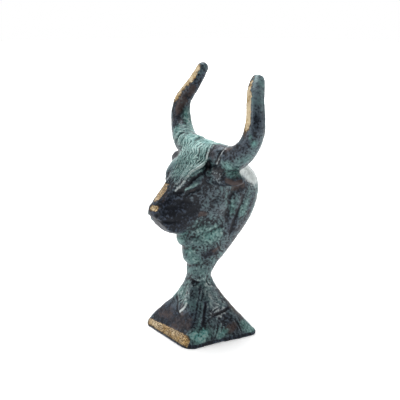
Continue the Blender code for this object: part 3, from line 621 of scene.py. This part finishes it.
def add(tree, kind, inputs=None, **settings):
    """Adds a node with its settings. An input is given a value, or the socket that it is linked to."""
    made = tree.nodes.new(kind)
    for name, value in settings.items():
        setattr(made, name, value)
    for name, value in (inputs or {}).items():
        if isinstance(value, bpy.types.NodeSocket):
            tree.links.new(value, made.inputs[name])
        else:
            made.inputs[name].default_value = value
    return made


patina = bpy.data.materials.new("Cast bronze, fumed green and waxed")
patina.use_nodes = True
tree = patina.node_tree
tree.nodes.clear()
spot = add(tree, "ShaderNodeTexCoord").outputs["Object"]
filed, crest, verdigris, dark_patina_and_shade, russet_and_shade, pale_wear_and_highlight, rubbed, combed, strand = (
    add(tree, "ShaderNodeAttribute", attribute_name=name).outputs["Fac"] for name in marks
)


def mottle(size_mm, detail, roughness, seed):
    """A cloudy pattern from 0 to 1 whose lumps are size_mm apart, stretched to its full contrast."""
    moved = add(tree, "ShaderNodeMapping", {"Vector": spot, "Location": (seed, seed * 0.7, seed * 1.3)})
    cloud = add(tree, "ShaderNodeTexNoise", {
        "Vector": moved.outputs["Vector"], "Scale": 1 / (size_mm * MM),
        "Detail": detail, "Roughness": roughness,
    })
    return add(tree, "ShaderNodeMapRange", {
        "Value": cloud.outputs["Fac"], "From Min": 0.30, "From Max": 0.70,
    }).outputs["Result"]


def together(weighted, start=0.0):
    """Adds up marks, each times its weight, and a plain number."""
    total = start
    for mark, weight in weighted:
        summed = add(tree, "ShaderNodeMath", {0: mark, 1: weight, 2: total}, operation="MULTIPLY_ADD")
        total = summed.outputs[0]
    return total


def lay(below, colour, most, band, weighted, start=0.0):
    """Lays a colour over what is below it. It begins where the marks together pass the band's low end, and
    has its most at the high end."""
    share = add(tree, "ShaderNodeMapRange", {
        "Value": together(weighted, start), "From Min": band[0], "From Max": band[1], "To Max": most,
    }, interpolation_type="SMOOTHSTEP").outputs["Result"]
    under, over = (linear(c) if isinstance(c, str) else c for c in (below, colour))
    return add(tree, "ShaderNodeMix", {0: share, 6: under, 7: over}, data_type="RGBA").outputs[2]


broad = mottle(MOTTLE_MM, 3, 0.55, 0.11)
flecks = mottle(FLECK_MM, 4, 0.65, 0.37)
specks = mottle(SPECK_MM, 3, 0.70, 0.53)
file_marks = mottle(SPECK_MM / 2, 2, 0.70, 0.71)
pores = add(tree, "ShaderNodeTexVoronoi", {"Vector": spot, "Scale": 1 / (PORE_MM * MM)}).outputs["Distance"]
turns = add(tree, "ShaderNodeMath", {0: strand, 1: 2 * math.pi}, operation="MULTIPLY").outputs[0]
lock = add(tree, "ShaderNodeMath", {0: turns}, operation="COSINE").outputs[0]
shifted = together([(turns, 2.7), (flecks, 5.0)])
finer = add(tree, "ShaderNodeMath", {0: shifted}, operation="COSINE").outputs[0]
hair = add(tree, "ShaderNodeMath", {
    0: together([(lock, 0.45), (finer, 0.35), (specks, 0.40)], -0.20), 1: combed,
}, operation="MULTIPLY").outputs[0]          # from -1 in a parting to 1 on a strand
grain = together([(flecks, 0.42), (specks, 0.42), (crest, 0.32), (hair, 0.20)])

# darker and bluer where the patina is dark and where shade is painted
dark_and_shaded = lay(SLATE, DARK_AND_SHADE_BLUE, 1.0, (0.10, 0.90), [(dark_patina_and_shade, 1.0)])
crust = lay(BLUE_BLACK, dark_and_shaded, 1.0, (0.28, 0.85),
            [(grain, 1.0), (broad, 0.30), (specks, 0.25), (dark_patina_and_shade, -0.34), (rubbed, 0.22)], -0.12)
# rust brown, which under the near ear is painted shade
crust = lay(crust, RUST_BROWN_AND_SHADE, 0.85, (0.25, 0.55), [(russet_and_shade, 0.90), (flecks, 0.45), (broad, 0.35)], -0.45)
leafy = lay(SEA_GREEN, TURQUOISE, 1.0, (0.72, 1.05), [(verdigris, 1.0), (grain, 0.40)], -0.20)
crust = lay(crust, leafy, 0.80, (0.12, 0.80),
            [(verdigris, 1.0), (broad, 0.45), (grain, 0.60), (dark_patina_and_shade, -0.55)], -0.50)
crust = lay(crust, CHALK, 0.70, (0.40, 0.95), [(verdigris, 0.70), (grain, 1.0), (dark_patina_and_shade, -0.35)], -0.47)
# pale where the crests are worn, and where highlights and reflections are painted
crust = lay(crust, WORN_AND_HIGHLIGHT_GREY, 0.62, (0.35, 0.85),
            [(pale_wear_and_highlight, 0.80), (crest, 0.45), (specks, 0.40), (hair, 0.24), (dark_patina_and_shade, -0.40)], -0.20)
crust = lay(crust, WORN_AND_HIGHLIGHT_GREY, 0.80, (0.55, 1.00), [(pale_wear_and_highlight, 1.0)])
crust = lay(crust, BLUE_BLACK, 0.74, (0.35, 0.80),
            [(crest, -0.60), (specks, -0.70), (flecks, -0.40), (pale_wear_and_highlight, -0.50), (hair, -0.36), (rubbed, -0.42),
             (verdigris, -0.22)], 0.92)
bright = lay(WARM_BRASS, FILED_BRASS, 1.0, (0.15, 0.85), [(flecks, 1.0), (filed, 0.60)], -0.40)
brass = lay(FILE_BROWN, bright, 1.0, (1.05, 1.60), [(filed, 1.3), (file_marks, 1.0)])
bare = add(tree, "ShaderNodeMapRange", {
    "Value": together([(filed, 1.0), (file_marks, 0.25)], -0.12),
    "From Min": BARE_BAND[0], "From Max": BARE_BAND[1],
}, interpolation_type="SMOOTHSTEP").outputs["Result"]
colour = add(tree, "ShaderNodeMix", {0: bare, 6: crust, 7: brass}, data_type="RGBA").outputs[2]

dull = together([(verdigris, 0.12), (specks, 0.12), (rubbed, -0.14), (pale_wear_and_highlight, -0.10), (dark_patina_and_shade, 0.12)], 0.37)
roughness = add(tree, "ShaderNodeMix", {0: bare, 2: dull, 3: BARE_ROUGHNESS}, data_type="FLOAT").outputs[0]
relief = add(tree, "ShaderNodeMath", {
    0: together([(specks, 0.80), (flecks, 0.40), (pores, 0.30), (hair, 0.90)]),
    1: together([(rubbed, -0.70)], 1.0),
}, operation="MULTIPLY").outputs[0]
bump = add(tree, "ShaderNodeBump", {"Height": relief, "Strength": BUMP_STRENGTH, "Distance": RELIEF_MM * MM})
shader = add(tree, "ShaderNodeBsdfPrincipled", {
    "Base Color": colour, "Roughness": roughness, "Metallic": together([(bare, 0.70)], 0.20),
    "Normal": bump.outputs["Normal"], "Specular IOR Level": 0.22, "Coat Roughness": 0.25,
    "Coat Weight": together([(bare, -0.25), (pale_wear_and_highlight, 0.30), (dark_patina_and_shade, -0.20)], 0.25),
})
tree.links.new(shader.outputs["BSDF"], add(tree, "ShaderNodeOutputMaterial").inputs["Surface"])
cast_mesh.materials.clear()
cast_mesh.materials.append(patina)

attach(bust, "root")
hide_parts("minotaur_bust")


# Studio. The bust stands on a white light table under a broad soft light, with a white screen behind it that
# draws the pale lines along its edges, and a soft strip on either side.
FLOOR_REACH = 0.9
SWEEP_WHITE = "#f4f4f4"
TABLE_GLOW = 0.25
GLOW_FADES = (0.25, 0.60)     # the camera sees the table fade into the white room between these reaches
ROOM_GLOW = 0.14
LOOK_AT = Vector((0, 0, 0.06))

sweep = bmesh.new()
bmesh.ops.create_circle(sweep, segments=64, radius=FLOOR_REACH, cap_ends=True)
sweep_mesh = bpy.data.meshes.new("floor")
sweep.to_mesh(sweep_mesh)
sweep.free()
floor = bpy.data.objects.new("floor", sweep_mesh)
bpy.context.scene.collection.objects.link(floor)
paper = bpy.data.materials.new("Matt white paper, lit from below")
paper.use_nodes = True
paper_shader = paper.node_tree.nodes["Principled BSDF"]
paper_shader.inputs["Base Color"].default_value = linear(SWEEP_WHITE)
paper_shader.inputs["Roughness"].default_value = 0.9
paper_shader.inputs["Emission Color"].default_value = (1, 1, 1, 1)
ground = add(paper.node_tree, "ShaderNodeTexCoord").outputs["Object"]
reach = add(paper.node_tree, "ShaderNodeVectorMath", {0: ground}, operation="LENGTH").outputs["Value"]
seen = add(paper.node_tree, "ShaderNodeLightPath").outputs["Is Camera Ray"]
whiter = add(paper.node_tree, "ShaderNodeMapRange", {
    "Value": reach, "From Min": GLOW_FADES[0], "From Max": GLOW_FADES[1], "To Max": 1 - TABLE_GLOW,
}, interpolation_type="SMOOTHSTEP").outputs["Result"]
glow = add(paper.node_tree, "ShaderNodeMath", {0: seen, 1: whiter, 2: TABLE_GLOW}, operation="MULTIPLY_ADD")
paper.node_tree.links.new(glow.outputs[0], paper_shader.inputs["Emission Strength"])
sweep_mesh.materials.append(paper)


def soft_light(name, stand, size, power):
    """A soft box at a stand (metres) that looks at the middle of the bust."""
    light = bpy.data.lights.new(name, "AREA")
    light.shape = "RECTANGLE"
    light.size, light.size_y = size
    light.energy = power
    box = bpy.data.objects.new(name, light)
    bpy.context.scene.collection.objects.link(box)
    box.location = stand
    box.rotation_euler = (Vector(stand) - LOOK_AT).to_track_quat("Z", "Y").to_euler()
    box.visible_camera = False


soft_light("light_above", (-0.20, 0.05, 0.80), (0.6, 0.6), 8.0)
soft_light("light_screen_behind", (-0.93, 0.59, 0.50), (2.2, 1.3), 14.0)
soft_light("light_left", (-0.45, -0.75, 0.35), (0.35, 0.7), 2.6)
soft_light("light_right", (0.45, 0.75, 0.35), (0.35, 0.7), 1.6)

world = bpy.data.worlds.new("White room")
bpy.context.scene.world = world
world.use_nodes = True
room = world.node_tree
room.nodes.clear()
seen = add(room, "ShaderNodeLightPath").outputs["Is Camera Ray"]
strength = add(room, "ShaderNodeMapRange", {"Value": seen, "To Min": ROOM_GLOW, "To Max": 1.0})
backdrop = add(room, "ShaderNodeBackground", {"Color": (1, 1, 1, 1), "Strength": strength.outputs["Result"]})
room.links.new(backdrop.outputs["Background"], add(room, "ShaderNodeOutputWorld").inputs["Surface"])
bpy.context.scene.view_settings.view_transform = "Standard"
